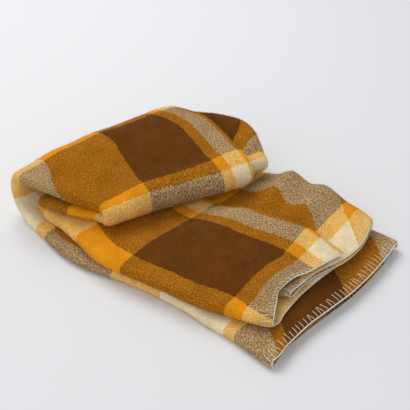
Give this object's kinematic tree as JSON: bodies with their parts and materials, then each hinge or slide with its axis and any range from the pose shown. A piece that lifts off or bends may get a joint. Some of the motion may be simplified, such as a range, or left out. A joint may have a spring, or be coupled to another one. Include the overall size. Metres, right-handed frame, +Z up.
{
  "type": "folded wool blanket",
  "caption": "Folded brushed wool blanket in a large block plaid, doubled over into a soft pad and free to rest on any level surface.",
  "frame": {"origin": "centre of the bounding box's underside, where the lowest layer of cloth rests", "axes": "+Z up from the resting face, +X along the folded strip towards its two cut ends, +Y across the strip"},
  "size_m": [0.5502, 0.3876, 0.1155],
  "materials": {
    "wool": "matte"
  },
  "bodies": {
    "root": {"blanket": "wool"}
  },
  "joints": []
}
